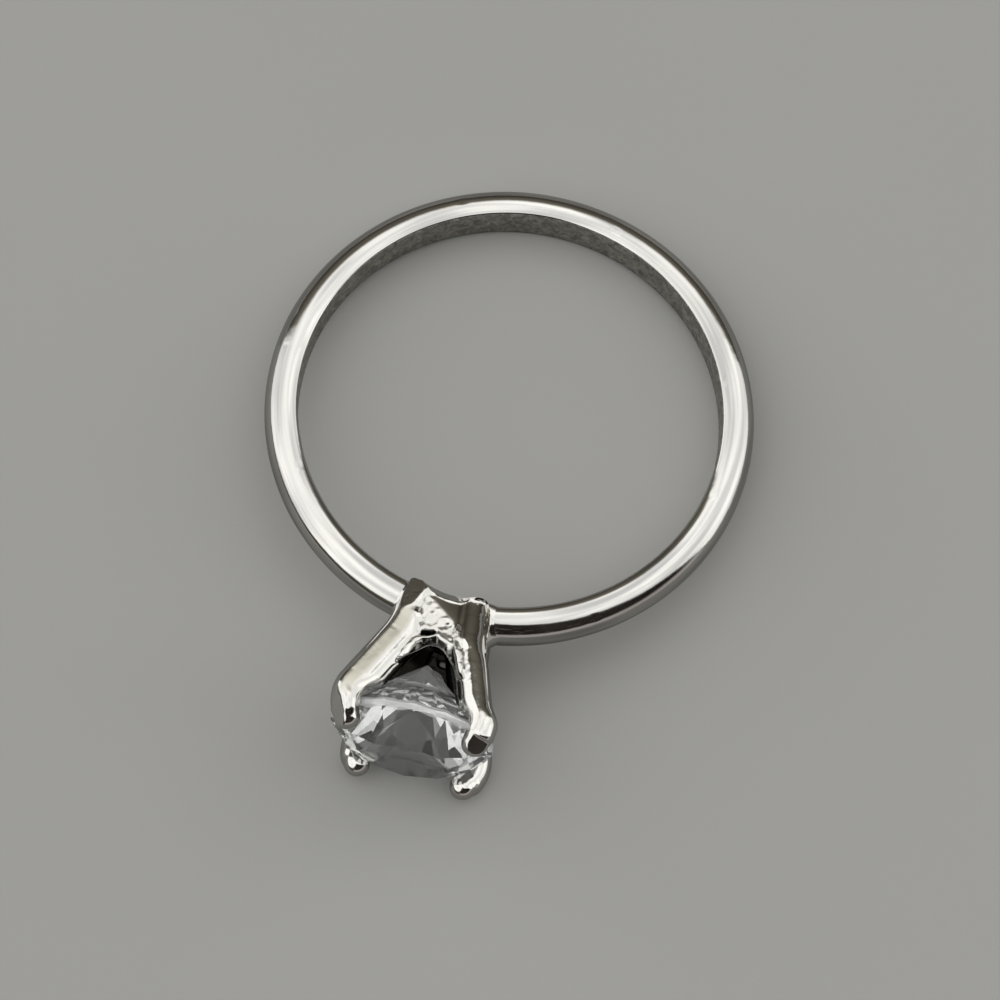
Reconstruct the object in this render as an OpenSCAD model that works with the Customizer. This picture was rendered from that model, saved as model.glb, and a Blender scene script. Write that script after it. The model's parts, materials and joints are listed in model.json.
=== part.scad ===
/* [Band] */
// Inside diameter of the finger hole
finger_hole_d = 17.3; // [16.8:0.1:18]
// Width of the band along the finger
band_w = 1.755; // [1.6:0.005:1.9]
// Thickness of the band from the finger hole to the top of its dome
band_t = 1.36; // [1.25:0.01:1.45]
// Rounding of the band's two inner edges
inner_edge_r = 0.11; // [0.06:0.01:0.16]

/* [Stone] */
// Diameter of the stone at its girdle
stone_d = 6.5; // [6.3:0.05:6.6]
// Distance from the centre of the finger hole to the middle of the girdle
girdle_reach = 14.3; // [14.2:0.05:14.4]
// Lean of the stone to the right in its claws, in degrees
stone_lean = 3.5; // [0:0.5:4]
// Width of the table across its corners, as a share of the stone's diameter
table_share = 0.58; // [0.55:0.01:0.61]
// Height of the crown, as a share of the stone's diameter
crown_share = 0.16; // [0.145:0.005:0.165]
// Depth of the pavilion, as a share of the stone's diameter
pavilion_share = 0.425; // [0.415:0.005:0.43]
// Thickness of the girdle at its thickest
girdle_t = 0.3; // [0.24:0.02:0.34]

/* [Setting] */
// Radius of a leg's round outer bar
bar_r = 0.6; // [0.56:0.01:0.64]
// Radius of a claw's round tip
tip_r = 0.54; // [0.5:0.01:0.55]
// Outward slope of the legs at the base, in degrees
base_slope = 10.6; // [10:0.2:11.4]
// Outward slope of the legs above the base, in degrees
leg_slope = 27.5; // [26.5:0.5:28.5]
// Thickness of the rib inside each leg
rib_t = 0.95; // [0.85:0.05:1.05]
// Thickness of the walls between the legs
wall_t = 0.45; // [0.4:0.01:0.5]
// Gap between the stone and the metal
seat_gap = 0.03; // [0.02:0.01:0.05]

/* [Hidden] */
$fn = 96;
METAL = [0.78, 0.79, 0.8];
CRYSTAL = [0.88, 0.94, 1, 0.5];

// The ring's own frame has the finger hole along Z and the setting towards -Y.
// The setting's frame has Z outward from the finger hole's centre, Y along the finger and X across.

// Band
hole_r = finger_hole_d / 2;
dome_r = band_w / 2;
dome_centre = hole_r + band_t - dome_r;
side_h = dome_centre - hole_r - inner_edge_r;

// Legs, each along a path of straight runs and bends in a plane through the setting's axis.
// Places in that plane are a distance from the setting's axis and one from the finger hole's centre.
leg_start = [1.62, 8.2];
base_run = 2.19;
knee_r = 2.5;
leg_run = 3;
claw_r = 1.1;
tip_run = 0.3;
tip_overlap = 0.03;
joint_overlap = 0.05;
joint_step = 0.01;

// Each leg's angle round the setting, what it adds to the common slope and run, and its claw's last slope
ANGLE = 0;
EXTRA_SLOPE = 1;
EXTRA_RUN = 2;
CLAW_TURN = 3;
LEGS = [
    [42, -1.7, -0.05, 18],
    [137, -0.5, 0, 35],
    [231, -6.5, 0.5, 40],
    [316, 0, 0, 38],
];

// Outline of a rib in its leg's plane
RIB = [
    [0.6, 10], [1.1, 11.2], [1.9, 12.5], [2.45, 13.5], [3.4, 14],
    [2.1, 10.7], [1.75, 9.2], [0.9, 8.4],
];

// Half outline of the walls: half width, distance from the finger hole's centre
WALL = [[1.56, 8.2], [1.66, 10.5], [2.32, 12.3]];
hollow_flare = [0.07, 0.2];
floor_reach = 10.42;
slot = [0.72, 0.22];
slot_shift = -0.5;
slot_reach = 10.59;
arch_r = 0.56;
arch_reach = 11.06;
arch_edge = 38;
window_top = [1.55, 12.5];

// Dished edges of the base at the finger hole
dish_r = 3;
dish_tilt = 27;
dish_point = [8.785, 1.47];

// Solder where the band meets the base
collar_angle = 9.3;
collar_reach = 9.33;
collar_run = 0.75;
collar_r = [1.12, 0.86];

// Stone
stone_r = stone_d / 2;
facets = 8;
facet_step = 360 / facets;
half_girdle = girdle_t / 2;
crown_h = crown_share * stone_d;
pavilion_h = pavilion_share * stone_d;
table_r = table_share * stone_r;
table_edge_r = table_r * cos(facet_step / 2);
half_facet_r = stone_r * cos(facet_step / 4);
star_r = (table_r + stone_r) / 2;
star_h = crown_h * (stone_r - star_r * cos(facet_step / 2)) / (stone_r - table_r);
lower_share = 0.23;
lower_r = lower_share * stone_r;
lower_h = pavilion_h * (1 - lower_r * cos(facet_step / 2) / stone_r);
star_depth = 0.006;
culet_cut = 0.05;
block = 4 * stone_d;

// How the ring lies, on two claws and on the band's far side
path_steps = 32;
search_steps = 30;
least_tilt = 3;
most_tilt = 9;
tilt = tilt_between(least_tilt, most_tilt, search_steps);
lift = band_reach(down(tilt));
back = band_reach(rearward(tilt));
front = max([for (leg = LEGS) tip_point(leg) * -rearward(tilt)]) + tip_r;

// A step of a path along a straight run, and round a bend from one slope to another
function run(length, slope) = length * [sin(slope), cos(slope)];
function bend(r, from, to) = r * [cos(from) - cos(to), sin(to) - sin(from)];

// Places in a leg's plane where its claw's bend starts, and on the bend where the slope is as given
function slope_of(leg) = leg_slope + leg[EXTRA_SLOPE];
function claw_start(leg) =
    leg_start + run(base_run, base_slope) + bend(knee_r, base_slope, slope_of(leg))
    + run(leg_run + leg[EXTRA_RUN], slope_of(leg));
function claw_bend(leg, slope) = claw_start(leg) - bend(claw_r, slope_of(leg), slope);

// A place in a leg's plane, in the ring's frame
function in_ring(leg, place) =
    [place[0] * cos(leg[ANGLE]), -place[1], place[0] * sin(leg[ANGLE])];
function tip_point(leg) =
    in_ring(leg, claw_bend(leg, -leg[CLAW_TURN]) + run(tip_run, -leg[CLAW_TURN]));

// Directions across the lying ring, in the ring's frame
function down(tilt) = [0, sin(tilt), -cos(tilt)];
function rearward(tilt) = [0, cos(tilt), sin(tilt)];

// How far the band and the legs reach along a direction
function band_reach(d) = dome_centre * norm([d[0], d[1]]) + dome_r;
function legs_reach(d) =
    max([
        for (leg = LEGS, i = [0 : path_steps])
            let (slope = slope_of(leg) - i * (slope_of(leg) + leg[CLAW_TURN]) / path_steps)
                in_ring(leg, claw_bend(leg, slope)) * d
    ]) + bar_r;

// The tilt at which the band and the legs reach equally far down
function tilt_between(low, high, steps) =
    let (middle = (low + high) / 2)
    steps == 0 ? middle
    : legs_reach(down(middle)) > band_reach(down(middle)) ? tilt_between(middle, high, steps - 1)
    : tilt_between(low, middle, steps - 1);

// The ring as it lies on a surface at z = 0, midway between its front and back
module lying() {
    translate([0, (front - back) / 2, lift])
        rotate([-tilt, 0, 0])
            children();
}

module in_setting_frame() {
    rotate([90, 0, 0])
        children();
}

module in_stone_frame() {
    translate([0, 0, girdle_reach])
        rotate([0, stone_lean, 0])
            children();
}

module band_profile() {
    intersection() {
        translate([dome_centre, 0])
            circle(dome_r);
        translate([hole_r + inner_edge_r, -band_w])
            square(2 * band_w);
    }
    translate([hole_r + inner_edge_r, -dome_r])
        square([side_h, band_w]);
    translate([hole_r, inner_edge_r - dome_r])
        square([inner_edge_r, band_w - 2 * inner_edge_r]);
    for (side = [-1, 1])
        translate([hole_r + inner_edge_r, side * (dome_r - inner_edge_r)])
            circle(inner_edge_r);
}

module band() {
    rotate_extrude()
        band_profile();
}

module finger_hole() {
    translate([0, 0, -2 * band_w])
        cylinder(h = 4 * band_w, r = hole_r);
}

// A length of round bar bent outward, or inward where the turn is negative, with the next piece at its end
module bent_bar(r, turn) {
    outward = sign(turn);
    translate([outward * r, 0, 0])
        rotate([90, 0, 0])
            rotate([0, 0, outward > 0 ? 180 - turn : 0])
                rotate_extrude(angle = abs(turn))
                    translate([r, 0])
                        circle(bar_r);
    translate([outward * r * (1 - cos(turn)), 0, r * sin(abs(turn))])
        rotate([0, turn, 0])
            children();
}

// A straight length, a hair thinner than the bends and let into them at both ends
module straight_bar(length) {
    translate([0, 0, -joint_overlap])
        cylinder(h = length + 2 * joint_overlap, r = bar_r - joint_step);
    translate([0, 0, length])
        children();
}

module claw_tip() {
    translate([0, 0, -joint_overlap])
        cylinder(h = tip_run + joint_overlap, r1 = bar_r - joint_step, r2 = tip_r - tip_overlap);
    translate([0, 0, tip_run])
        sphere(tip_r);
}

module leg(row) {
    translate([leg_start[0], 0, leg_start[1]])
        rotate([0, base_slope, 0])
            straight_bar(base_run)
                bent_bar(knee_r, slope_of(row) - base_slope)
                    straight_bar(leg_run + row[EXTRA_RUN])
                        bent_bar(claw_r, -slope_of(row) - row[CLAW_TURN])
                            claw_tip();
}

module rib() {
    rotate([90, 0, 0])
        linear_extrude(rib_t, center = true)
            polygon(RIB);
}

// A block with four flared sides, from its half outline, widened on all sides by grow
module flared_block(half_outline, grow = 0) {
    outline = concat(
        [for (p = half_outline) [p[0] + grow, p[1]]],
        [for (i = [len(half_outline) - 1 : -1 : 0]) [-half_outline[i][0] - grow, half_outline[i][1]]]
    );
    intersection() {
        for_side(0, outline);
        for_side(90, outline);
    }
}

module for_side(angle, outline) {
    rotate([90, 0, angle])
        linear_extrude(2 * WALL[2][0] + band_w, center = true)
            polygon(outline);
}

module window() {
    centre = arch_reach + arch_r;
    foot = arch_r * [cos(arch_edge), -sin(arch_edge)];
    rotate([90, 0, 0])
        linear_extrude(4 * WALL[2][0], center = true) {
            translate([0, centre])
                circle(arch_r);
            polygon([
                [-foot[0], centre + foot[1]], [foot[0], centre + foot[1]],
                window_top, [-window_top[0], window_top[1]],
            ]);
        }
}

module walls() {
    hollow = [
        [WALL[1][0], floor_reach],
        WALL[2] + hollow_flare,
    ];
    difference() {
        flared_block(WALL);
        flared_block(hollow, -wall_t);
        for (angle = [0, 90])
            rotate([0, 0, angle])
                window();
        for (angle = [0 : 90 : 270])
            rotate([0, 0, angle])
                translate([slot_shift - slot[0] / 2, WALL[0][0] - 2 * wall_t, slot_reach])
                    cube([slot[0], 4 * wall_t, slot[1]]);
    }
}

module dishes() {
    across = dish_point[1] + dish_r * cos(dish_tilt);
    for (side = [-1, 1])
        translate([0, side * across, dish_point[0] - dish_r * sin(dish_tilt)])
            sphere(dish_r);
}

module collars() {
    for (side = [-1, 1])
        rotate([0, side * collar_angle, 0])
            translate([0, 0, collar_reach])
                rotate([0, side * 90, 0])
                    cylinder(h = collar_run, r1 = collar_r[0], r2 = collar_r[1]);
}

// The space that the stone takes up in the metal, with its gap
module stone_seat() {
    in_stone_frame()
        rotate_extrude()
            polygon([
                [0, -half_girdle - pavilion_h - seat_gap],
                [lower_r + seat_gap, -half_girdle - lower_h - seat_gap],
                [stone_r + seat_gap, -half_girdle - seat_gap],
                [stone_r + seat_gap, half_girdle + seat_gap],
                [star_r + seat_gap, half_girdle + star_h + seat_gap],
                [table_r + seat_gap, half_girdle + crown_h + seat_gap],
                [0, half_girdle + crown_h + seat_gap],
            ]);
}

module setting() {
    difference() {
        in_setting_frame() {
            difference() {
                union() {
                    walls();
                    collars();
                    for (row = LEGS)
                        rotate([0, 0, row[ANGLE]]) {
                            leg(row);
                            rib();
                        }
                }
                dishes();
                stone_seat();
            }
        }
        finger_hole();
    }
}

module band_and_setting() {
    color(METAL)
        lying() {
            band();
            setting();
        }
}

// The part of space under one facet's plane, which leans from the stone's axis at an angle round it
module under_facet(angle, lean, r, h) {
    rotate([0, 0, angle])
        translate([r, 0, h])
            rotate([0, lean, 0])
                translate([-block / 2, -block / 2, -block])
                    cube(block);
}

// Mains of the crown or the pavilion, one at each step round the stone
module under_mains(lean) {
    intersection_for(i = [0 : facets - 1])
        under_facet(i * facet_step, lean, stone_r, half_girdle);
}

// Half facets of the crown or the pavilion, two between each main and the next
module under_halves(lean) {
    intersection_for(i = [0 : 2 * facets - 1])
        under_facet((i + 0.5) * facet_step / 2, lean, half_facet_r, half_girdle);
}

// Stars of the crown, one on each edge of the table
module under_stars(lean) {
    intersection_for(i = [0 : facets - 1])
        under_facet((i + 0.5) * facet_step, lean, table_edge_r, half_girdle + crown_h - star_depth);
}

module crown() {
    intersection() {
        cylinder(h = half_girdle + crown_h, r = stone_r);
        under_halves(atan2(star_h, half_facet_r - star_r * cos(facet_step / 4)));
        under_mains(atan2(crown_h, stone_r - table_r));
        under_stars(atan2(crown_h - star_h, star_r - table_edge_r));
    }
}

module pavilion() {
    mirror([0, 0, 1])
        intersection() {
            cylinder(h = half_girdle + pavilion_h - culet_cut, r = stone_r);
            under_halves(atan2(lower_h, half_facet_r - lower_r * cos(facet_step / 4)));
            under_mains(atan2(pavilion_h, stone_r));
        }
}

module stone() {
    color(CRYSTAL)
        lying()
            in_setting_frame()
                in_stone_frame() {
                    crown();
                    pavilion();
                }
}

band_and_setting();
stone();
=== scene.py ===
import json
from math import atan2, copysign, cos, degrees, exp, pi, radians, sin, sqrt
from types import SimpleNamespace

import bmesh
import bpy
from mathutils import Matrix, Quaternion, Vector, noise


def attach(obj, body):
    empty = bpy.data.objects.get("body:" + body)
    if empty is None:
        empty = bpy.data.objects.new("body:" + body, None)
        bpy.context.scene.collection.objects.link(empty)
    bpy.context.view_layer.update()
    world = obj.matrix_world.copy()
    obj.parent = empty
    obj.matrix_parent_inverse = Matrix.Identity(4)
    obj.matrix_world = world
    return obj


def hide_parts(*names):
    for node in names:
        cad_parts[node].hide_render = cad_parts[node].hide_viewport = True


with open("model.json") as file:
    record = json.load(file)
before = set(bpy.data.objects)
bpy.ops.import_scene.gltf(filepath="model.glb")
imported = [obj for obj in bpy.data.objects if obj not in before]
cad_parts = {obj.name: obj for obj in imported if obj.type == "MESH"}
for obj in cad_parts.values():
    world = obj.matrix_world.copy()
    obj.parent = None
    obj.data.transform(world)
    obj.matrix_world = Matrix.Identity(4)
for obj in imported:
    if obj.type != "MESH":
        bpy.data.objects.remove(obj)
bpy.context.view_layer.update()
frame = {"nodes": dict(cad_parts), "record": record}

# Places of the ring and of its setting; shapes are made in millimetres in these two frames
MM = 0.001
mount = next(m for m in frame["record"]["mounts"] if m["name"] == "finger_hole")
hole_axis = Vector(mount["axis"])
RING = (Matrix.Translation(mount["pos_m"])
        @ Matrix.Rotation(-atan2(hole_axis.y, hole_axis.z), 4, "X")
        @ Matrix.Scale(MM, 4))
SETTING = RING @ Matrix.Rotation(pi / 2, 4, "X")

# Stone: its girdle's distance from the finger hole's centre, its lean in degrees and its place
GIRDLE_REACH = 14.3
STONE_LEAN = 3.5
STONE = (SETTING @ Matrix.Translation((0, 0, GIRDLE_REACH))
         @ Matrix.Rotation(radians(STONE_LEAN), 4, "Y") @ Matrix.Scale(1 / MM, 4))

# Band: its sizes, the steps of its dome, of its inner edges and round the hoop, and the cuts in its flat
# sides, which are the lines of its cross-section above a length
HOLE_R = 8.65
BAND_W = 1.755
BAND_T = 1.36
INNER_EDGE = 0.12
DOME_R = BAND_W / 2
DOME_CENTRE = HOLE_R + BAND_T - DOME_R
DOME_STEPS = 40
EDGE_STEPS = 7
FLAT_CUTS = 7
ROUND_STEPS = 432
SHORTEST_FLAT = 0.2

# Points closer than this are one
TOUCH = 1e-4

# Lengthwise polishing lines: how fast they change round the band, their widths, their mix and their depth
STREAK_TURNS = 2.5
FINE_STREAK = 0.1
WIDE_STREAK = 0.3
FINE_SHARE = 0.6
STREAK_SPAN = (-0.35, 0.6)
STREAK_DEPTH = 0.0012

# Faint waves that polishing leaves in the band, as depth and length
LONG_WAVES = (0.004, 1.6)
SHORT_WAVES = (0.0016, 0.6)

# Worn upper inner edge: its width and depth, and its end in degrees round the band from the setting
WORN_EDGE = 0.43
WORN_DEPTH = 0.18
WORN_END = (70, 120)

# Small nicks in the band: angle round it, height and distance from the middle
NICKS = [(2, 0.1, 10.0), (-9, 0.86, 9.0), (24, 0.85, 8.8), (77, 0.88, 9.1), (118, 0.8, 9.4),
         (171, 0.62, 9.75), (214, 0.86, 9.0), (306, 0.7, 9.65)]
NICK_R = 0.2
NICK_FLOOR = 0.04
NICK_DEPTH = 0.02

# Inner wall: how far up its rounded edges it is dull or painted with shade, how softly that ends, and the
# strength of the painted contact shadow along its lower edge, with the heights over the band's lower side
# at which it ends
DULL_FROM = 0.4 * INNER_EDGE
SHADE_FROM = 0.5 * INNER_EDGE
WALL_FADE = 0.03
SHADOW_LINE_STRENGTH = 0.9
SHADOW_LINE_END = (0.08, 0.16)

# Setting: the grid that its surface is made on, and where it is cut from the band, in degrees
GRID = 0.05
BAND_CUT = 13.6

# Legs: radius of their round bars, and the line of their middles up to the claws' tips
BAR_R = 0.6
LEG_START = (1.62, 8.2)
BASE_SLOPE = 10.6
BASE_RUN = 2.19
KNEE_R = 2.5
CLAW_R = 1.1
CLAW_STEPS = 6
TIP_RUN = 0.3

# Each leg's angle round the setting, its slope above the knee, its run and its claw's last slope
LEGS = {
    "upper_right": (42, 25.8, 2.95, 18),
    "upper_left": (137, 27, 3, 35),
    "lower_left": (231, 21, 3.5, 40),
    "lower_right": (316, 27.5, 3, 38),
}

# How far from a leg's middle its flats and its foot are shaped
LEG_REACH = 0.75

# Half outline of the walls: half width and height
WALL = [(1.56, 8.2), (1.66, 10.5), (2.32, 12.3)]

# Arched window of a wall, as half width and height: a round arch on two slanting sides
ARCH_CENTRE = Vector((0, 11.62))
ARCH_R = 0.56
WINDOW_FOOT = Vector((0.44, 11.28))
WINDOW_TOP = Vector((1.55, 12.5))


def run(length, slope):
    return Vector((length * sin(radians(slope)), length * cos(radians(slope))))


def bend(r, start, end):
    return r * Vector((cos(radians(start)) - cos(radians(end)), sin(radians(end)) - sin(radians(start))))


def leg_line(row):
    """Points along the middle of a leg, from the finger hole to the claw's tip."""
    angle, slope, length, turn = row
    knee = Vector(LEG_START) + run(BASE_RUN, BASE_SLOPE)
    above = knee + bend(KNEE_R, BASE_SLOPE, slope)
    claw = above + run(length, slope)
    slopes = [slope - i * (slope + turn) / CLAW_STEPS for i in range(1, CLAW_STEPS + 1)]
    places = [Vector(LEG_START), knee, above, claw] + [claw - bend(CLAW_R, slope, s) for s in slopes]
    places.append(places[-1] + run(TIP_RUN, -turn))
    a = radians(angle)
    return [Vector((p.x * cos(a), p.x * sin(a), p.y)) for p in places]


def nearest_on(p, line):
    """The nearest place to a point on a line of points."""
    places = []
    for a, b in zip(line, line[1:]):
        along = b - a
        share = min(1, max(0, (p - a).dot(along) / along.length_squared))
        places.append(a + share * along)
    return min(places, key=lambda place: (p - place).length_squared)


def wall_reach(h):
    """How far a wall's outer face is from the setting's axis."""
    (low, low_h), (high, high_h) = WALL[:2] if h < WALL[1][1] else WALL[1:]
    return low + (high - low) * (h - low_h) / (high_h - low_h)


def off_window(across, h):
    """Distance in a wall's face outside the arched window."""
    place = Vector((across, h))
    along = (WINDOW_TOP - WINDOW_FOOT).normalized()
    beside = place - WINDOW_FOOT
    if beside.dot(along) < 0:
        return (place - ARCH_CENTRE).length - ARCH_R
    return beside.x * along.y - beside.y * along.x


def fade_in(x, low, high):
    """A smooth step from 0 at a low value to 1 at a high one."""
    t = min(1, max(0, (x - low) / (high - low)))
    return t * t * (3 - 2 * t)


def fade_out(x, low, high):
    return 1 - fade_in(x, low, high)


def within(x, start, full, fading, end):
    """Fades in from start to full, and out from fading to end."""
    return fade_in(x, start, full) * fade_out(x, fading, end)


def ripple(p, size, seed=0):
    """Smooth noise between about -1 and 1, with waves of a given size."""
    return noise.noise(p / size + Vector((seed * 7.31, seed * 3.17, seed * 5.73)))


def finished(name, bm, place):
    """A smooth shaded object from a shape made in one of the two frames."""
    bm.transform(place)
    mesh = bpy.data.meshes.new(name)
    bm.to_mesh(mesh)
    bm.free()
    for face in mesh.polygons:
        face.use_smooth = True
    piece = bpy.data.objects.new(name, mesh)
    bpy.context.scene.collection.objects.link(piece)
    return piece


# Band: half round outside and flat inside
def last_points(spun):
    return [v for v in spun["geom_last"] if isinstance(v, bmesh.types.BMVert)]


def band_outline():
    """The band's cross-section, a closed line with rounded inner corners."""
    bm = bmesh.new()
    top = bm.verts.new((DOME_CENTRE, 0, DOME_R))
    dome = bmesh.ops.spin(bm, geom=[top], cent=(DOME_CENTRE, 0, 0), axis=(0, 1, 0), angle=pi,
                          steps=DOME_STEPS, use_duplicate=False)
    corners = bmesh.ops.extrude_vert_indiv(bm, verts=[top] + last_points(dome))["verts"]
    bmesh.ops.translate(bm, verts=corners, vec=(HOLE_R + INNER_EDGE - DOME_CENTRE, 0, 0))
    half = DOME_R - INNER_EDGE
    ends = []
    for corner in corners:
        up = copysign(1, corner.co.z)
        rounded = bmesh.ops.spin(bm, geom=[corner], cent=(HOLE_R + INNER_EDGE, 0, up * half),
                                 axis=(0, 1, 0), angle=-up * pi / 2, steps=EDGE_STEPS,
                                 use_duplicate=False)
        ends += last_points(rounded)
    bmesh.ops.contextual_create(bm, geom=ends)
    straight = [edge for edge in bm.edges if edge.calc_length() > SHORTEST_FLAT]
    bmesh.ops.subdivide_edges(bm, edges=straight, cuts=FLAT_CUTS)
    # On the inner wall the points lie closer together towards its edges
    for v in bm.verts:
        if v.co.x < HOLE_R + TOUCH and abs(v.co.z) < half - TOUCH:
            v.co.z *= 2 - abs(v.co.z) / half
    return bm


def polish(bm):
    """Gives the band its lengthwise polishing lines and a slightly wavy surface."""
    streak = bm.verts.layers.float.new("streak")
    for v in bm.verts:
        along = STREAK_TURNS * atan2(v.co.y, v.co.x)
        reach = v.co.xy.length
        fine = noise.noise(Vector((along, v.co.z / FINE_STREAK, reach / FINE_STREAK)))
        wide = noise.noise(Vector((along, v.co.z / WIDE_STREAK + 5, reach / WIDE_STREAK)))
        v[streak] = fade_in(FINE_SHARE * fine + wide, *STREAK_SPAN)
        v.co += v.normal * (LONG_WAVES[0] * ripple(v.co, LONG_WAVES[1])
                            + SHORT_WAVES[0] * ripple(v.co, SHORT_WAVES[1], 1) + STREAK_DEPTH * fine)


def wear_upper_edge(bm):
    """Rounds the upper inner edge further on the setting's side of the hoop."""
    for v in bm.verts:
        inward = HOLE_R + WORN_EDGE - v.co.xy.length
        if v.co.z > 0 and inward > 0:
            off_setting = abs((degrees(atan2(v.co.y, v.co.x)) + 270) % 360 - 180)
            v.co.z -= WORN_DEPTH * (inward / WORN_EDGE) ** 2 * fade_out(off_setting, *WORN_END)


def nick(bm, azimuth, height, reach):
    place = Vector((cos(radians(azimuth)) * reach, sin(radians(azimuth)) * reach, height))
    for v in bm.verts:
        away = (v.co - place).length
        if away < NICK_R:
            v.co -= v.normal * NICK_DEPTH * fade_out(away, NICK_FLOOR, NICK_R)


def mark_inner_wall(bm):
    """Marks the dull inner wall, and a painted contact shadow line along its lower edge."""
    inner_wall = bm.verts.layers.float.new("inner_wall")
    dark = bm.verts.layers.float.new("dark_inside")
    for v in bm.verts:
        reach = v.co.xy.length
        v[inner_wall] = fade_in(HOLE_R + DULL_FROM - reach, 0, WALL_FADE)
        # Painted contact shadow: near black along the inner wall's lower edge, where the ring meets the
        # floor
        v[dark] = (SHADOW_LINE_STRENGTH * fade_in(HOLE_R + SHADE_FROM - reach, 0, WALL_FADE)
                   * fade_out(v.co.z + DOME_R, *SHADOW_LINE_END))


def make_band():
    bm = band_outline()
    bmesh.ops.spin(bm, geom=bm.verts[:] + bm.edges[:], cent=(0, 0, 0), axis=(0, 0, 1), angle=2 * pi,
                   steps=ROUND_STEPS, use_merge=True, use_duplicate=False)
    bmesh.ops.remove_doubles(bm, verts=bm.verts, dist=TOUCH)
    bmesh.ops.recalc_face_normals(bm, faces=bm.faces)
    bm.normal_update()
    polish(bm)
    wear_upper_edge(bm)
    bm.normal_update()
    for azimuth, height, reach in NICKS:
        nick(bm, azimuth, height, reach)
    mark_inner_wall(bm)
    return finished("band", bm, RING)


# Setting: taken over from the CAD model, with the band cut off, soft edges and a cast surface
def cut_from_band():
    """The setting's own metal, on an even fine grid."""
    bm = bmesh.new()
    bm.from_mesh(frame["nodes"]["band_and_setting"].data)
    bmesh.ops.remove_doubles(bm, verts=bm.verts, dist=TOUCH * MM)
    bm.transform(SETTING.inverted())
    cut = radians(BAND_CUT)
    for side in (-1, 1):
        part = bmesh.ops.bisect_plane(bm, geom=bm.verts[:] + bm.edges[:] + bm.faces[:], dist=1e-5,
                                      plane_co=(0, 0, 0), plane_no=(side * cos(cut), 0, -sin(cut)),
                                      clear_outer=True)
        edges = [e for e in part["geom_cut"] if isinstance(e, bmesh.types.BMEdge)]
        bmesh.ops.edgeloop_fill(bm, edges=edges)
    bmesh.ops.recalc_face_normals(bm, faces=bm.faces)

    rough = bpy.data.objects.new("rough_setting", bpy.data.meshes.new("rough_setting"))
    bm.to_mesh(rough.data)
    bm.free()
    bpy.context.scene.collection.objects.link(rough)
    remesh = rough.modifiers.new("even_grid", "REMESH")
    remesh.mode = "VOXEL"
    remesh.voxel_size = GRID
    even = bpy.data.meshes.new_from_object(rough.evaluated_get(bpy.context.evaluated_depsgraph_get()))
    bpy.data.objects.remove(rough)

    bm = bmesh.new()
    bm.from_mesh(even)
    return bm


# How often the whole setting is softened before and after its shaping, and some places after that:
# the upper right leg's foot, the walls at the band, the right side and the upper left claw
FIRST_SOFTENING = 10
LAST_SOFTENING = 3
FOOT_SOFTENING = 10
FLANK_SOFTENING = 10
RIGHT_SOFTENING = 14
HOOK_SOFTENING = 18


def soften(bm, verts, passes):
    for i in range(passes):
        bmesh.ops.smooth_vert(bm, verts=verts, factor=0.5, use_axis_x=True, use_axis_y=True,
                              use_axis_z=True)


def facing(x, y, z):
    """A direction in the setting's frame, from the one in which the ring lies."""
    return (SETTING.to_3x3().inverted() @ Vector((x, y, z))).normalized()


def measured(point, lines):
    """Where a point lies against the setting's legs, walls and scoop."""
    near = {name: nearest_on(point, line) for name, line in lines.items()}
    gaps = {name: (point - place).length for name, place in near.items()}
    across, out = sorted((abs(point.x), abs(point.y)))
    return SimpleNamespace(near=near, gaps=gaps, off_legs=min(gaps.values()), h=point.z, out=out,
                           across=across, wall=wall_reach(point.z), sideways=abs(point.x) > abs(point.y),
                           in_scoop=past_scoop_edge(point))


# Smooth scoop towards the finger hole, whose edge slants over the front wall: how far the front goes
# round the legs, the edge's height 1 mm left of the middle and its slope, how a height counts square to
# it, the scoop's roundness and depth, and the setting's half width at the lip
FRONT_MARGIN = 0.4
SCOOP_EDGE_H = 9.18
SCOOP_SLOPE = 0.68
SCOOP_SQUARE = 0.83
SCOOP_R = 0.3
SCOOP_DEPTH = 0.5
SCOOP_ROOM = 1.42

# Thin raised lip that the scoop ends in: its middle, half length, arch, height and width
LIP_X = -0.1
LIP_HALF = 1.15
LIP_ARCH = 0.34
LIP_H = 0.06
LIP_W = 0.08


def past_scoop_edge(point):
    """Distance inside the scoop's slanting edge, or -1 away from the front."""
    if point.y <= abs(point.x) - FRONT_MARGIN:
        return -1
    return SCOOP_SQUARE * (SCOOP_EDGE_H + SCOOP_SLOPE * (point.x + 1) - point.z)


def shape_scoop(v, spot):
    arch = max(0, 1 - ((v.co.x - LIP_X) / LIP_HALF) ** 2)
    rim = sqrt(v.co.x ** 2 + spot.h ** 2) - HOLE_R - LIP_ARCH * arch
    if spot.in_scoop > 0:
        depth = SCOOP_DEPTH * (sqrt(spot.in_scoop ** 2 + SCOOP_R ** 2) - SCOOP_R)
        between_legs = max(fade_in(spot.off_legs, BAR_R - 0.35, BAR_R + 0.1),
                           fade_out(spot.gaps["upper_left"], 0.7, 0.9))
        v.co.y -= depth * between_legs * fade_in(spot.out, spot.wall - 0.6, spot.wall - 0.1)
    if abs(v.co.y) > 1.0:
        v.co.y += copysign(LIP_H, v.co.y) * exp(-(rim / LIP_W) ** 2) * fade_in(arch, 0, 0.3)
    if rim < 0:
        room = SCOOP_ROOM + 1.3 * rim
        v.co.y = min(room, max(-room, v.co.y))


# Rough cast metal between the legs, which is weaker on the left and right walls
CAST_START = (8.95, 9.35)
SIDE_CAST = 0.3

# Painted shade inside the setting: its heights, and its depth under the upper and the lower walls
SHADE_HEIGHTS = (10.2, 10.45, 13.2, 13.6)
UPPER_INSET = 0.3
LOWER_INSET = 0.15


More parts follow.
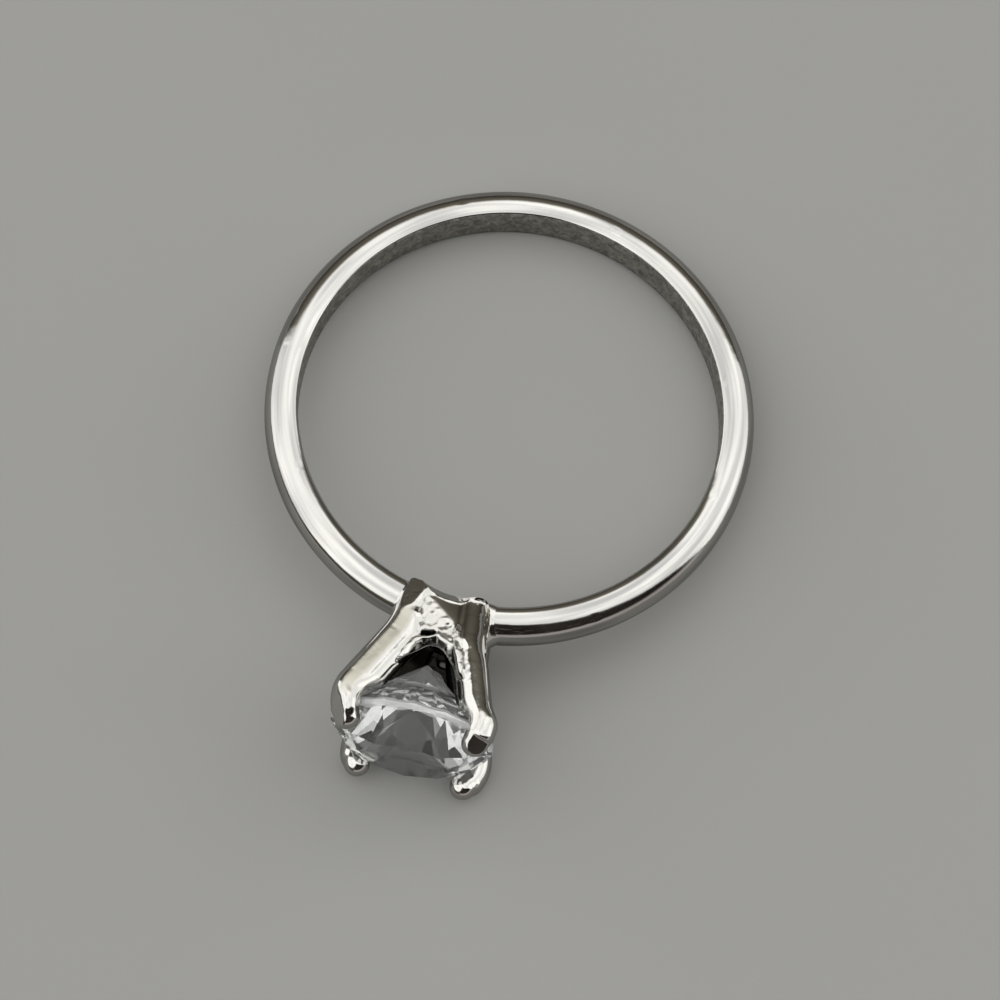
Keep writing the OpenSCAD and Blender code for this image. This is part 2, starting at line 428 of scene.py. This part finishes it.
def mark_surface(v, spot, marks):
    """Marks where the metal is rough from casting, and where shade is painted dark inside the setting."""
    v[marks.cast] = (fade_in(spot.off_legs, BAR_R - 0.05, BAR_R + 0.1) * fade_in(spot.h, *CAST_START)
                     * fade_out(spot.in_scoop, -0.1, 0.15)
                     * fade_in(spot.out, spot.wall - 0.5, spot.wall - 0.15)
                     * (SIDE_CAST * fade_out(spot.across, 0.6, 0.9) if spot.sideways else 1))
    inset = UPPER_INSET if v.co.y > 0 else LOWER_INSET
    # Near black painted shade inside the setting, away from the legs
    v[marks.dark] = (fade_in(spot.wall - spot.out, inset, inset + 0.12) * within(spot.h, *SHADE_HEIGHTS)
                     * fade_in(spot.off_legs, BAR_R, BAR_R + 0.3))


# Slanting edges of the windows: their width, narrower under the arch, and their depth, less at the
# left, and the painted shade on their lower part, with the heights and the width at which it ends
CHAMFER_W = 0.4
ARCH_NARROWING = 0.12
CHAMFER_DEPTH = 0.36
LEFT_SHALLOWING = 0.14
SILL_SHADE = 0.7
SILL_MIDDLE = -0.3
SILL_HALF = (0.45, 0.7)
SILL_END = (11.8, 12.1)


def chamfer_window(v, spot, marks):
    width = CHAMFER_W - ARCH_NARROWING * fade_out(spot.across, 0.3, 0.6)
    edge = (fade_out(off_window(spot.across, spot.h), 0, width)
            * fade_in(spot.out, spot.wall - 0.4, spot.wall - 0.05))
    left = 0 if spot.sideways or v.co.y < 0 else fade_in(-v.co.x, 0.7, 1.0)
    beside_leg = fade_in(spot.off_legs, BAR_R, BAR_R + 0.15)
    depth = (CHAMFER_DEPTH - LEFT_SHALLOWING * left) * edge * beside_leg
    v[marks.cast] *= fade_out(edge, 0, 0.3)
    # Painted shade on the lower part of the window's slanting edge
    v[marks.dark] = max(v[marks.dark], SILL_SHADE * fade_in(edge, 0.1, 0.5) * fade_out(spot.h, *SILL_END)
                        * beside_leg * fade_out(abs(v.co.x - SILL_MIDDLE), *SILL_HALF))
    if spot.sideways:
        v.co.x -= copysign(depth, v.co.x)
    else:
        v.co.y -= copysign(depth, v.co.y)


# Slot in the front wall, which slants a little
SLOT_CENTRE = Vector((-0.49, 10.69))
SLOT_SLOPE = 0.306


def slant_slot(v, spot, marks):
    if v.co.y > 0.9:
        off = Vector((v.co.x, spot.h)) - SLOT_CENTRE
        # Painted shade inside the slot
        v[marks.dark] = max(v[marks.dark], fade_in(spot.wall - v.co.y, 0.05, 0.13)
                            * fade_out(abs(off.x), 0.4, 0.5) * fade_out(abs(off.y), 0.19, 0.25))
        v.co.z -= (SLOT_SLOPE * off.x * fade_out(abs(off.x), 0.43, 0.58)
                   * fade_out(abs(off.y), 0.17, 0.33))


# Collars of solder: their start and run in degrees round the band, thickness and reach
COLLAR_START = 10.9
COLLAR_RUN = 2.2
COLLAR_T = 0.22
COLLAR_REACH = 1.5


def thin_collar(v, spot):
    """Thins a collar of solder along the band."""
    turn = atan2(v.co.x, spot.h)
    past = abs(turn) - radians(COLLAR_START)
    if past > 0:
        reach = v.co - DOME_CENTRE * Vector((sin(turn), 0, cos(turn)))
        room = DOME_R - 0.03 + COLLAR_T * fade_out(past, -0.01, radians(COLLAR_RUN))
        if room < reach.length < COLLAR_REACH:
            v.co -= (reach * (1 - room / reach.length)
                     * fade_out(reach.length, COLLAR_REACH - 0.25, COLLAR_REACH))


# Upper right leg: the top and run of its rounded foot, how far it is bent to the left, the heights of
# the filled corner beside it and its depth, and the strip beside the window
FOOT_TOP = 9.3
FOOT_RUN = 1.05
BOW = 0.2
BOW_END = (13, 14)
CORNER_HEIGHTS = (9.9, 10.3, 11.1, 11.6)
CORNER_FILL = 0.16
STRIP_HEIGHTS = (10.5, 11.0, 13.4, 14)
STRIP_LEVEL = 0.545
STRIP = facing(-0.634, 0.097, 0.767)
LEG_LEFT = facing(-0.937, -0.35, 0)


def pressed(v, place, direction, level, share=1):
    """Presses a point down to a flat at a level above a place, and says how high it was."""
    rise = (v.co - place).dot(direction)
    v.co -= direction * max(0, rise - level) * share
    return rise


def shape_upper_right(v, spot):
    place, gap = spot.near["upper_right"], spot.gaps["upper_right"]
    if spot.h < FOOT_TOP and gap < LEG_REACH:
        room = BAR_R * sqrt(max(0.08, 1 - 0.9 * ((FOOT_TOP - spot.h) / FOOT_RUN) ** 2))
        reach = v.co - place
        outer = reach.dot(Vector((place.x, place.y, 0)).normalized())
        if reach.length > room and outer > -0.1:
            v.co -= reach * (1 - room / reach.length) * fade_in(outer, -0.1, 0.15)
    aside = (v.co - place).dot(LEG_LEFT)
    if gap < 1 and not spot.sideways and v.co.y > 0:
        v.co.y += (CORNER_FILL * within(aside, 0.36, 0.58, 0.7, 1.0) * within(spot.h, *CORNER_HEIGHTS)
                   * fade_in(spot.out, spot.wall - 0.6, spot.wall - 0.2))
    if gap < LEG_REACH:
        pressed(v, place, STRIP, STRIP_LEVEL, 0.95 * within(spot.h, *STRIP_HEIGHTS))
    v.co.x -= BOW * fade_out(gap, 0.62, 1.1) * fade_out(spot.h, *BOW_END)


# Upper left leg: its flats as direction and level, their heights, their satin finish, the groove along
# them, the swelling beside it, the slanting back of its foot and the rough metal there
LEG_FLATS = [(facing(0.288, 0.311, 0.906), 0.46), (facing(0.591, 0.141, 0.794), 0.479)]
FLAT_HEIGHTS = (9.75, 10.05, 14.0, 14.5)
SATIN_HEIGHTS = (9.75, 10.05, 13.8, 14.7)
SATIN_WIDTH = (-0.4, -0.25, 0.12, 0.24)
GROOVE_AT = 0.24
GROOVE_HALF = 0.12
GROOVE_DEPTH = 0.04
GROOVE_HEIGHTS = (9.9, 10.3, 13.4, 14)
SWELLING = 0.2
SWELLING_HEIGHTS = (10.1, 10.8, 13.1, 14)
LEG_RIGHT = facing(0.932, -0.362, 0)
LEG_BACK = facing(-0.342, 0.259, 0.903)
BACK_LEVEL = 0.41
BACK_SLOPE = 0.13
BACK_START = 8.8
BACK_END = (9.75, 10.15)
ROUGH_HEIGHTS = (8.75, 9.0, 9.85, 10.0)


def shape_upper_left(v, spot, marks):
    if spot.gaps["upper_left"] >= LEG_REACH or v.co.y <= 0:
        return
    place, h = spot.near["upper_left"], spot.h
    aside = (v.co - place).dot(LEG_RIGHT)
    pressed(v, place, LEG_BACK, BACK_LEVEL + BACK_SLOPE * (h - BACK_START), fade_out(h, *BACK_END))
    for direction, level in LEG_FLATS:
        pressed(v, place, direction, level, within(h, *FLAT_HEIGHTS))
    v.co -= (LEG_FLATS[0][0] * GROOVE_DEPTH * fade_out(abs(aside - GROOVE_AT), 0, GROOVE_HALF)
             * within(h, *GROOVE_HEIGHTS))
    v.co += LEG_RIGHT * SWELLING * fade_in(aside, 0, 0.5) * within(h, *SWELLING_HEIGHTS)
    v[marks.satin] = within(h, *SATIN_HEIGHTS) * within(aside, *SATIN_WIDTH)
    start = 0.45 - 0.5 * (h - BACK_START)
    v[marks.cast] = max(v[marks.cast], within(h, *ROUGH_HEIGHTS) * fade_in(aside, start, start + 0.15))


# Flats on the upper claws, as direction and level
HOOK_FLAT = (facing(-0.6, -0.5, 0.62), 0.42)
HOOK_HEIGHTS = (13.7, 14.8)
TIP_FLAT = (facing(0.3, -0.33, 0.895), 0.37)
TIP_REACH = 0.62
TIP_SATIN = 0.3


def flatten_claws(v, spot, tip, marks):
    """Flats on the outer side of the upper left claw and on the upper right claw's tip."""
    if spot.gaps["upper_left"] < LEG_REACH:
        pressed(v, spot.near["upper_left"], *HOOK_FLAT, fade_in(spot.h, *HOOK_HEIGHTS))
    if (v.co - tip).length < TIP_REACH:
        rise = pressed(v, tip, *TIP_FLAT)
        v[marks.satin] = TIP_SATIN * fade_in(rise, 0.36, 0.4)


# Rough cast surface: height, size and level of its lumps, and height and size of its grains and pits,
# with the heights at which the pits end, and the faint waves of the polished metal
LUMPS = (0.06, 0.55, 0.35)
SMALL_LUMPS = (0.04, 0.3, 0.3)
GRAINS = (0.012, 0.13)
PITS = (0.09, 0.42)
PITS_END = (10.9, 11.2)
HAND_POLISH = (0.003, 0.9)


def roughen(bm, marks):
    """Lumps and pits in the cast metal, and faint waves in the polished metal."""
    for v in bm.verts:
        lump = (LUMPS[0] * (LUMPS[2] - abs(ripple(v.co, LUMPS[1])))
                + SMALL_LUMPS[0] * (SMALL_LUMPS[2] - abs(ripple(v.co, SMALL_LUMPS[1], 2)))
                + GRAINS[0] * ripple(v.co, GRAINS[1], 6))
        pit = PITS[0] * fade_in(ripple(v.co, PITS[1], 4), 0.42, 0.6) * fade_out(v.co.z, *PITS_END)
        v.co += v.normal * (v[marks.cast] * (1 - v[marks.dark]) * (lump - pit)
                            + HAND_POLISH[0] * ripple(v.co, HAND_POLISH[1], 3))


def make_setting():
    bm = cut_from_band()
    soften(bm, bm.verts, FIRST_SOFTENING)
    lines = {name: leg_line(row) for name, row in LEGS.items()}
    layers = bm.verts.layers.float
    marks = SimpleNamespace(cast=layers.new("cast"), dark=layers.new("dark_inside"),
                            satin=layers.new("satin"))
    for v in bm.verts:
        spot = measured(v.co, lines)
        mark_surface(v, spot, marks)
        chamfer_window(v, spot, marks)
        slant_slot(v, spot, marks)
        shape_scoop(v, spot)
        thin_collar(v, spot)
        shape_upper_right(v, spot)
        shape_upper_left(v, spot, marks)
        flatten_claws(v, spot, lines["upper_right"][-1], marks)

    foot = [v for v in bm.verts if v.co.z < 9.4 and v.co.x > 0.75 and v.co.y > 0.7]
    flanks = [v for v in bm.verts if v.co.z < 10.7 and abs(v.co.x) > 1.25 and abs(v.co.y) < 1.35]
    right = [v for v in bm.verts if 9.1 < v.co.z < 11.5 and v.co.x > 1.3 and v.co.y > 0]
    hook = [v for v in bm.verts if 13.3 < v.co.z < 15 and v.co.x < 0 and v.co.y > 0]
    for verts, passes in ((bm.verts, LAST_SOFTENING), (foot, FOOT_SOFTENING), (flanks, FLANK_SOFTENING),
                          (right, RIGHT_SOFTENING), (hook, HOOK_SOFTENING)):
        soften(bm, verts, passes)
    bm.normal_update()
    roughen(bm, marks)
    return finished("setting", bm, SETTING)


# Materials
def add(tree, kind, inputs=None, **settings):
    """A node with its settings, and its inputs as values or as other nodes' outputs."""
    node = tree.nodes.new(kind)
    for name, value in settings.items():
        setattr(node, name, value)
    for name, value in (inputs or {}).items():
        if isinstance(value, bpy.types.NodeSocket):
            tree.links.new(value, node.inputs[name])
        else:
            node.inputs[name].default_value = value
    return node


def object_place(tree):
    return add(tree, "ShaderNodeTexCoord").outputs["Object"]


def mark(tree, name):
    return add(tree, "ShaderNodeAttribute", attribute_name=name).outputs["Fac"]


def noisy(tree, place, scale, detail, roughness=0.5, distortion=0):
    inputs = {"Vector": place, "Scale": scale, "Detail": detail, "Roughness": roughness,
              "Distortion": distortion}
    return add(tree, "ShaderNodeTexNoise", inputs).outputs["Fac"]


def spread(tree, value, start, end, low=0, high=1, kind="LINEAR"):
    """Moves values between start and end to between low and high."""
    inputs = {"Value": value, "From Min": start, "From Max": end, "To Min": low, "To Max": high}
    return add(tree, "ShaderNodeMapRange", inputs, interpolation_type=kind).outputs[0]


def work_out(tree, operation, *values):
    return add(tree, "ShaderNodeMath", dict(enumerate(values)), operation=operation).outputs[0]


def mix(tree, share, first, second):
    """A colour from the first at a share of 0 to the second at 1."""
    return add(tree, "ShaderNodeMix", {"Factor": share, 6: first, 7: second}, data_type="RGBA").outputs[2]


def bumpy(tree, height, distance, strength=1, under=None):
    inputs = {"Strength": strength, "Distance": distance, "Height": height}
    if under is not None:
        inputs["Normal"] = under
    return add(tree, "ShaderNodeBump", inputs).outputs[0]


def new_material(name):
    material = bpy.data.materials.new(name)
    material.use_nodes = True
    material.node_tree.nodes.clear()
    return material, material.node_tree


# Colours of the metal: polished, greyer in its polishing lines as painted reflection, satin, on its worn
# inner wall, and near black for painted shade
POLISHED = ((0.78, 0.765, 0.735, 1), (0.84, 0.835, 0.82, 1))
REFLECTED_STREAK_GREY = (0.53, 0.52, 0.52, 1)
SATIN = (0.7, 0.68, 0.6, 1)
WORN = ((0.4, 0.39, 0.36, 1), (0.95, 0.93, 0.88, 1))
SHADE_BLACK = (0.014, 0.013, 0.011, 1)
REFLECTED_STREAK_STRENGTH = 0.85

# Its roughness where polished, and how much more it is where cast or worn, satin or in a polishing line
GLOSS = (0.06, 0.12)
DULLER = 0.2
SATIN_DULLER = 0.26
LINE_DULLER = 0.06

# Patterns in the metal, as waves in a metre, and the heights of its faint waves and of its grain
CLOUDS = 700
MARKS = 3000
WAVES = 1900
WAVE_H = 0.004 * MM
GRAIN = 9000
GRAIN_H = 0.01 * MM


def polished_metal():
    """White metal: bright with polishing lines greyed as painted reflection, satin on the flats, dull where
    cast, worn inside, near black where shade is painted.
    """
    material, tree = new_material("polished_white_metal")
    place = object_place(tree)
    inner, satin, streak = (mark(tree, name) for name in ("inner_wall", "satin", "streak"))
    dull = work_out(tree, "MAXIMUM", mark(tree, "cast"), inner)
    clouds = noisy(tree, place, CLOUDS, 3)

    roughness = spread(tree, clouds, 0.35, 0.7, *GLOSS)
    for finish, more in ((dull, DULLER), (satin, SATIN_DULLER), (streak, LINE_DULLER)):
        roughness = work_out(tree, "ADD", roughness, spread(tree, finish, 0, 1, 0, more))

    # Greyer in the polishing lines: painted grey reflection streaks in the highlight, besides their real
    # grooves and roughness
    lined = mix(tree, spread(tree, streak, 0, 1, 0, REFLECTED_STREAK_STRENGTH), mix(tree, clouds, *POLISHED), REFLECTED_STREAK_GREY)
    brushed = mix(tree, satin, lined, SATIN)
    worn = mix(tree, spread(tree, noisy(tree, place, MARKS, 5, 0.65, 1), 0.38, 0.66), *WORN)
    # Near black painted shade inside the setting and along the band's lower inner edge
    colour = mix(tree, mark(tree, "dark_inside"), mix(tree, inner, brushed, worn), SHADE_BLACK)

    waves = bumpy(tree, noisy(tree, place, WAVES, 2), WAVE_H)
    grain = bumpy(tree, noisy(tree, place, GRAIN, 4, 0.6), GRAIN_H,
                  spread(tree, dull, 0, 1, 0.03, 0.6), waves)
    shader = add(tree, "ShaderNodeBsdfPrincipled", {"Base Color": colour, "Metallic": 1,
                 "Roughness": roughness, "Normal": grain})
    add(tree, "ShaderNodeOutputMaterial", {"Surface": shader.outputs[0]})
    return material


# Stone: its clear tint, how strongly light bends in it, and the frosted girdle's half width from full to
# none, strength, waves round it, their height, its middle, and the haze below it with its heights
CRYSTAL = ((0.93, 0.95, 0.97, 1), (0.98, 0.98, 0.96, 1))
CRYSTAL_IOR = 1.68
FROSTED = (0.97, 0.98, 1, 1)
FROSTED_IOR = 1.66
GIRDLE_HALF = (0.19 * MM, 0.24 * MM)
GIRDLE_FROST = 0.7
SCALLOPS = 16
SCALLOP_H = 0.04 * MM
GIRDLE_DROP = 0.06 * MM
HAZE = 0.115
HAZE_HEIGHTS = (-0.3 * MM, -0.1 * MM)


def clear_crystal():
    """Clear stone with a frosted girdle, whose edges are scalloped, and a faint haze below it."""
    material, tree = new_material("clear_crystal")
    place = object_place(tree)
    haze = noisy(tree, place, 900, 3)
    clear = add(tree, "ShaderNodeBsdfPrincipled", {"Base Color": mix(tree, haze, *CRYSTAL),
                "Roughness": 0.012, "IOR": CRYSTAL_IOR, "Transmission Weight": 1})
    own = add(tree, "ShaderNodeMapping", {"Vector": place, "Location": STONE.to_translation(),
              "Rotation": STONE.to_euler()}, vector_type="TEXTURE")
    x, y, height = add(tree, "ShaderNodeSeparateXYZ", {"Vector": own.outputs[0]}).outputs

    turn = work_out(tree, "ARCTAN2", y, x)
    scallop = work_out(tree, "COSINE", work_out(tree, "MULTIPLY", turn, SCALLOPS))
    wander = work_out(tree, "ADD", work_out(tree, "MULTIPLY_ADD", haze, 3, -1.5), scallop)
    drop = work_out(tree, "MULTIPLY_ADD", wander, SCALLOP_H, GIRDLE_DROP)
    off_girdle = work_out(tree, "ABSOLUTE", work_out(tree, "ADD", height, drop))
    girdle = spread(tree, off_girdle, *GIRDLE_HALF, GIRDLE_FROST, 0)
    below = spread(tree, height, *HAZE_HEIGHTS, HAZE, 0)
    frost = bumpy(tree, noisy(tree, place, 12000, 2), 0.01 * MM, 0.5)
    frosted = add(tree, "ShaderNodeBsdfPrincipled", {"Base Color": FROSTED, "Roughness": 0.45,
                  "IOR": FROSTED_IOR, "Transmission Weight": 0.3, "Normal": frost})
    shader = add(tree, "ShaderNodeMixShader", {"Fac": work_out(tree, "MAXIMUM", girdle, below),
                 1: clear.outputs[0], 2: frosted.outputs[0]})
    add(tree, "ShaderNodeOutputMaterial", {"Surface": shader.outputs[0]})
    return material


# Floor: its own pale grey, and its colour in the metal and through the stone
PALE_GREY = ((0.41, 0.41, 0.405, 1), (0.44, 0.44, 0.435, 1))
FLOOR_IN_METAL = (0.19, 0.19, 0.18, 1)
FLOOR_IN_STONE = (0.05, 0.05, 0.047, 1)


def pale_table():
    """Pale grey floor, darker where the metal mirrors it and where it is seen through the stone."""
    material, tree = new_material("pale_table")
    plain = mix(tree, noisy(tree, object_place(tree), 30, 4), *PALE_GREY)
    ray = add(tree, "ShaderNodeLightPath").outputs
    mirrored = mix(tree, ray["Is Glossy Ray"], plain, FLOOR_IN_METAL)
    colour = mix(tree, ray["Is Transmission Ray"], mirrored, FLOOR_IN_STONE)
    shader = add(tree, "ShaderNodeBsdfPrincipled", {"Base Color": colour, "Roughness": 0.7})
    add(tree, "ShaderNodeOutputMaterial", {"Surface": shader.outputs[0]})
    return material


def dress(piece, material):
    piece.data.materials.clear()
    piece.data.materials.append(material)


metal = polished_metal()
for piece in (make_band(), make_setting()):
    dress(piece, metal)
    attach(piece, "root")
    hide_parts("band_and_setting")

stone = frame["nodes"]["stone"]
dress(stone, clear_crystal())


# Studio
FLOOR_SIZE = 6


def flat_sheet(name, size, place):
    bm = bmesh.new()
    bmesh.ops.create_grid(bm, x_segments=1, y_segments=1, size=size / 2)
    return finished(name, bm, place)


floor = flat_sheet("floor", FLOOR_SIZE, Matrix.Identity(4))
dress(floor, pale_table())

# A white room, as azimuth round the ring and degrees from straight up that its light reaches down to,
# how softly the light ends there, and where a dark flag stands at the front right
REACH = [(-180, 85), (-150, 80), (-120, 70), (-104, 60), (-92, 16), (-75, 14), (-60, 17), (-45, 22),
         (-20, 36), (-5, 52), (3, 94), (46, 95), (58, 66), (70, 53), (90, 50), (130, 48), (142, 51),
         (150, 64), (158, 92), (166, 92), (180, 85)]
SOFTNESS = [(-180, 4), (-60, 4), (-20, 3), (30, 4), (60, 8), (142, 8), (150, 10), (162, 6), (180, 4)]
FLAG = [(-100, 0), (-90, 1), (-2, 1), (5, 0)]

# Heights in the room, in degrees from straight up
DARK_WALL = (45, 88)
FLAG_FOOT = (70, 78)
TABLE_EDGE = (72, 77)

# Colours in the room: its white light, its dark wall above and below, the flag and the glints on it, the
# table beyond the flag, and what the camera and the stone see of the room
WHITE_LIGHT = ((0.92, 0.92, 0.89, 1), (1.24, 1.23, 1.19, 1))
WALL_SHADES = ((0.18, 0.168, 0.135, 1), (0.042, 0.036, 0.028, 1))
FLAG_SHADES = ((0.012, 0.009, 0.007, 1), (0.3, 0.28, 0.26, 1))
BEYOND_FLAG = (0.36, 0.335, 0.32, 1)
PLAIN_GREY = (0.62, 0.62, 0.61, 1)
BESIDE_STONE = (0.95, 0.95, 0.92, 1)


def round_ramp(tree, around, stops, scale):
    """Values at azimuths round the ring, in degrees, joined by straight lines."""
    ramp = add(tree, "ShaderNodeValToRGB", {"Fac": around})
    band = ramp.color_ramp
    while len(band.elements) < len(stops):
        band.elements.new(0.5)
    for element, (azimuth, value) in zip(band.elements, stops):
        element.position = (azimuth + 180) / 360
        element.color = (value * scale,) * 3 + (1,)
    return ramp.outputs["Color"]


def white_room():
    world = bpy.data.worlds.new("white_room")
    world.use_nodes = True
    sky = world.node_tree
    sky.nodes.clear()
    direction = add(sky, "ShaderNodeTexCoord").outputs["Generated"]
    x, y, z = add(sky, "ShaderNodeSeparateXYZ", {"Vector": direction}).outputs
    around = spread(sky, work_out(sky, "ARCTAN2", y, x), -pi, pi)
    from_top = work_out(sky, "DIVIDE", work_out(sky, "ARCCOSINE", z), pi)

    def height_range(span, low=0, high=1):
        return spread(sky, from_top, span[0] / 180, span[1] / 180, low, high)

    flag = round_ramp(sky, around, FLAG, 1)
    in_light = work_out(sky, "SUBTRACT", round_ramp(sky, around, REACH, 1 / 180), from_top)
    soft = round_ramp(sky, around, SOFTNESS, 1 / 180)
    lit = spread(sky, in_light, work_out(sky, "MULTIPLY", soft, -1), soft, kind="SMOOTHSTEP")

    wall = mix(sky, height_range(DARK_WALL), *WALL_SHADES)
    glint = spread(sky, noisy(sky, direction, 24, 2), 0.6, 0.72)
    on_flag = work_out(sky, "MULTIPLY", flag, height_range(FLAG_FOOT, 1, 0))
    shade = mix(sky, on_flag, wall, mix(sky, glint, *FLAG_SHADES))
    beyond = work_out(sky, "MULTIPLY", flag, height_range(TABLE_EDGE))
    shade = mix(sky, beyond, shade, BEYOND_FLAG)
    cloud = spread(sky, noisy(sky, direction, 2, 2, distortion=0.6), 0.38, 0.62)
    white = mix(sky, cloud, *WHITE_LIGHT)

    room = add(sky, "ShaderNodeBackground", {"Color": mix(sky, lit, shade, white)})
    plain = add(sky, "ShaderNodeBackground", {"Color": PLAIN_GREY})
    beside_stone = add(sky, "ShaderNodeBackground", {"Color": BESIDE_STONE})
    ray = add(sky, "ShaderNodeLightPath").outputs
    shown = add(sky, "ShaderNodeMixShader", {"Fac": ray["Is Camera Ray"], 1: room.outputs[0],
                2: plain.outputs[0]})
    shown = add(sky, "ShaderNodeMixShader", {"Fac": ray["Is Transmission Ray"], 1: shown.outputs[0],
                2: beside_stone.outputs[0]})
    add(sky, "ShaderNodeOutputWorld", {"Surface": shown.outputs[0]})
    return world


bpy.context.scene.world = white_room()
bpy.context.scene.view_settings.view_transform = "Standard"

# Camera: its lens, the place it looks at, its distance, and its turns in degrees
SENSOR_W = 36
FOCAL_LENGTH = 124.92
AIM = Vector((0.00051914, -0.00006998, 0))
DISTANCE = 0.142649
CAMERA_AZIMUTH = 11.177
CAMERA_HEIGHT = 73.816
CAMERA_ROLL = 4.9513

lens = bpy.data.cameras.new("camera")
lens.sensor_width = SENSOR_W
lens.lens = FOCAL_LENGTH
lens.clip_start, lens.clip_end = 0.01, 20
camera = bpy.data.objects.new("camera", lens)
bpy.context.scene.collection.objects.link(camera)
bpy.context.scene.camera = camera
height = radians(CAMERA_HEIGHT)
back = Matrix.Rotation(radians(CAMERA_AZIMUTH), 3, "Z") @ Vector((0, -cos(height), sin(height)))
camera.location = AIM + DISTANCE * back
camera.rotation_mode = "QUATERNION"
camera.rotation_quaternion = (-back).to_track_quat("-Z", "Y") @ Quaternion((0, 0, 1), radians(CAMERA_ROLL))
